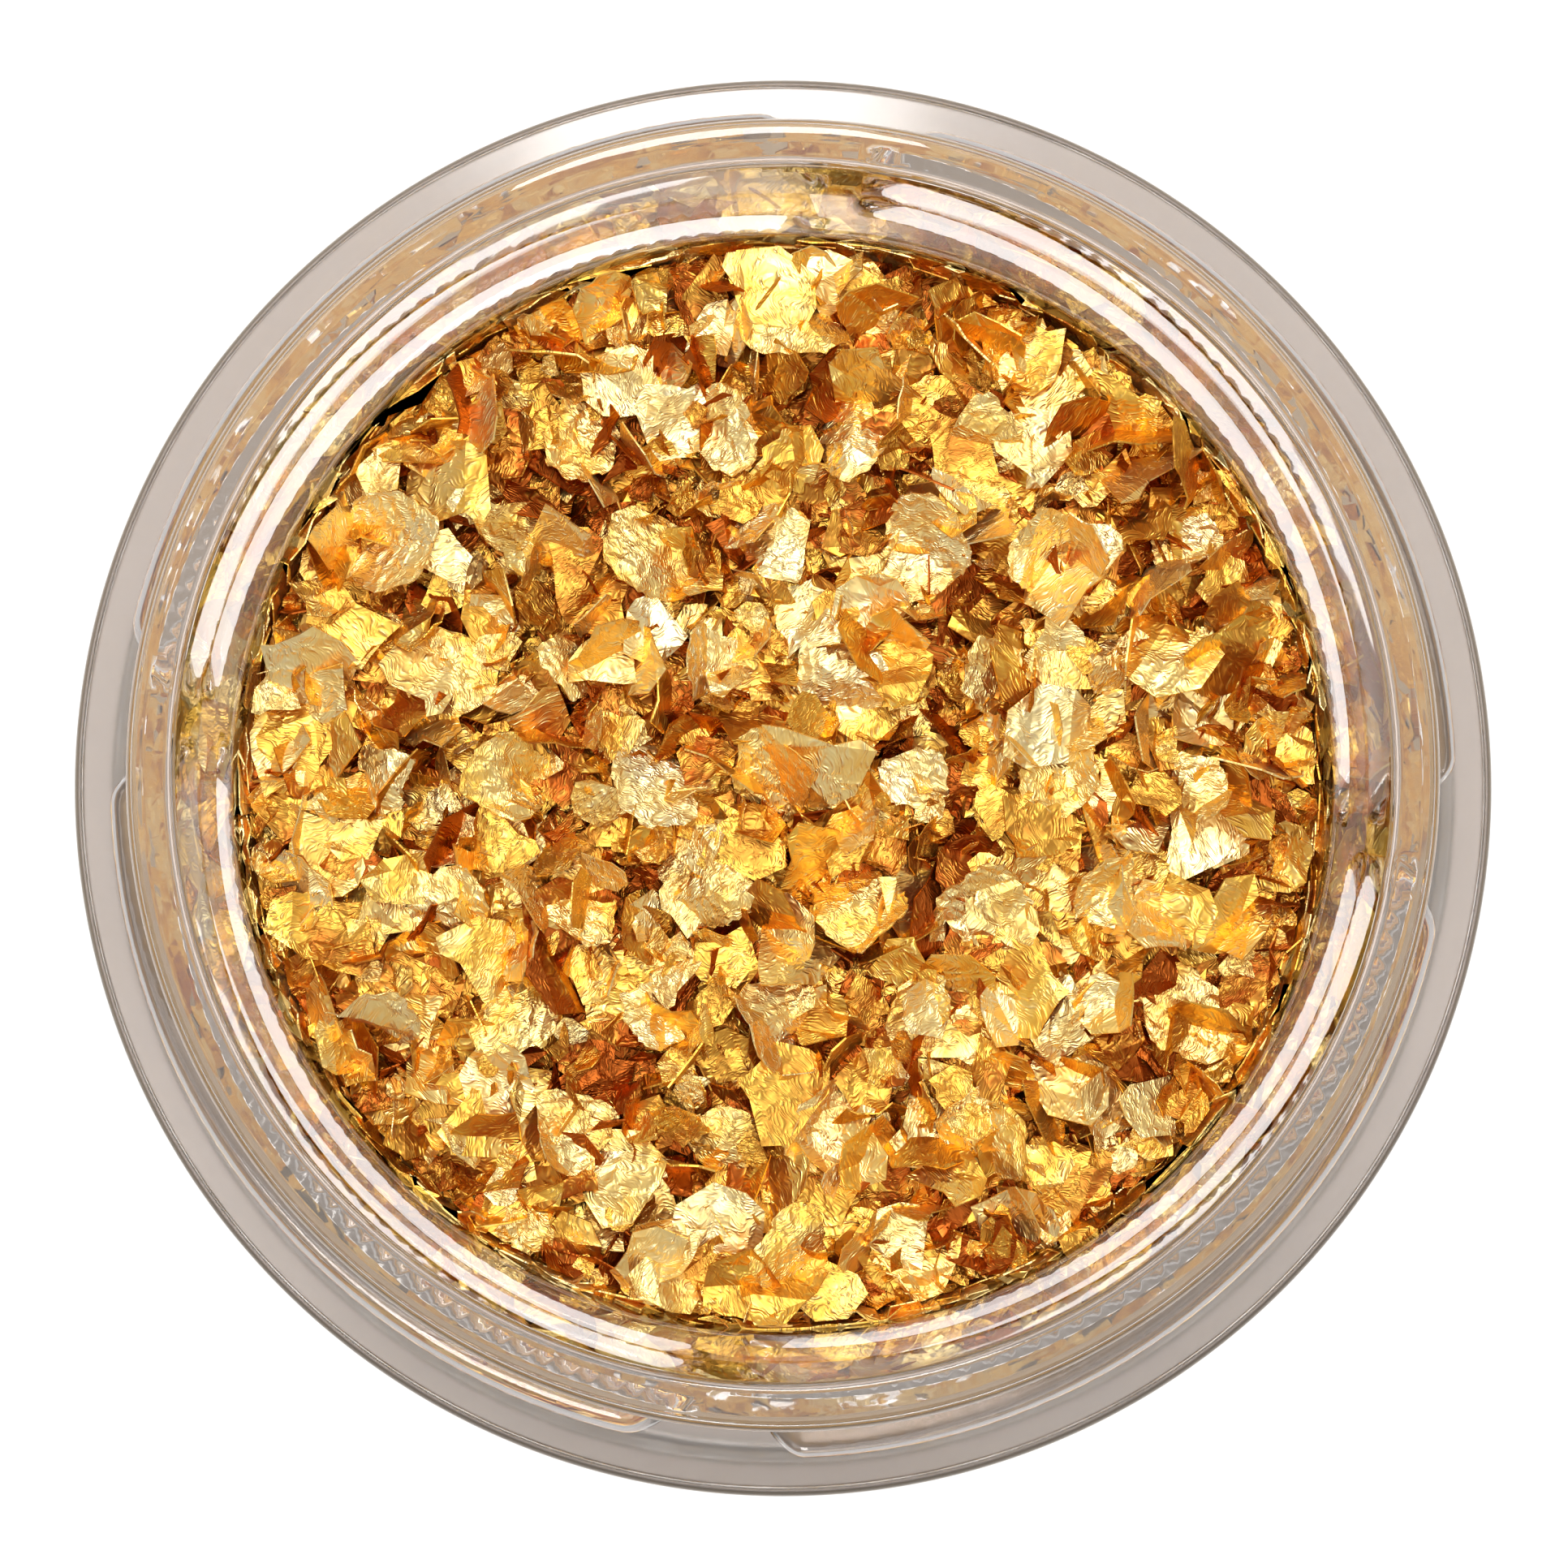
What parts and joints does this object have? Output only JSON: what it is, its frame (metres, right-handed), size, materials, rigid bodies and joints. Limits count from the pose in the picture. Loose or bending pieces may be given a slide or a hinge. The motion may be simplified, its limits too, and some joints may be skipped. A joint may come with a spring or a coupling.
{
  "type": "gold sample vial",
  "caption": "Low clear wide-mouth sample jar with a shouldered body and a multi-start screw neck, open, holding a settled heap of loose crumpled gold leaf flakes.",
  "frame": {"origin": "centre of the underside of the foot ring, on the surface that the jar stands on", "axes": "+Z is the jar's axis, up through the open mouth; the thread's first rib starts clockwise from +Y, seen from above"},
  "size_m": [0.0305, 0.0304, 0.0155],
  "materials": {
    "clear_plastic": "clear, polished mouldings",
    "gold_leaf": "crumpled leaf, satin to bright",
    "gold_crumbs": "fine crumpled leaf, satin"
  },
  "bodies": {
    "root": {"jar_body": "clear_plastic", "packed_fine_flakes": "gold_crumbs", "leaf_flake_01": "gold_leaf", "leaf_flake_02": "gold_leaf", "leaf_flake_03": "gold_leaf", "leaf_flake_04": "gold_leaf", "leaf_flake_05": "gold_leaf", "leaf_flake_06": "gold_leaf", "leaf_flake_07": "gold_leaf", "leaf_flake_08": "gold_leaf", "leaf_flake_09": "gold_leaf", "leaf_flake_10": "gold_leaf", "leaf_flake_11": "gold_leaf", "leaf_flake_12": "gold_leaf", "leaf_flake_13": "gold_leaf", "leaf_flake_14": "gold_leaf", "leaf_flake_15": "gold_leaf", "leaf_flake_16": "gold_leaf", "leaf_flake_17": "gold_leaf", "leaf_flake_18": "gold_leaf", "leaf_flake_19": "gold_leaf", "leaf_flake_20": "gold_leaf", "leaf_flake_21": "gold_leaf", "leaf_flake_22": "gold_leaf", "leaf_flake_23": "gold_leaf", "leaf_flake_24": "gold_leaf", "leaf_flake_25": "gold_leaf", "leaf_flake_26": "gold_leaf", "leaf_flake_27": "gold_leaf", "leaf_flake_28": "gold_leaf", "leaf_flake_29": "gold_leaf", "leaf_flake_30": "gold_leaf", "leaf_flake_31": "gold_leaf", "leaf_flake_32": "gold_leaf", "leaf_flake_33": "gold_leaf", "leaf_flake_34": "gold_leaf", "leaf_flake_35": "gold_leaf", "leaf_flake_36": "gold_leaf", "leaf_flake_37": "gold_leaf", "leaf_flake_38": "gold_leaf", "leaf_flake_39": "gold_leaf", "leaf_flake_40": "gold_leaf", "leaf_flake_41": "gold_leaf", "leaf_flake_42": "gold_leaf", "leaf_flake_43": "gold_leaf", "small_flakes_1": "gold_leaf", "small_flakes_2": "gold_leaf", "small_flakes_3": "gold_leaf", "small_flakes_4": "gold_leaf", "small_flakes_5": "gold_leaf", "small_flakes_6": "gold_leaf"}
  },
  "joints": []
}
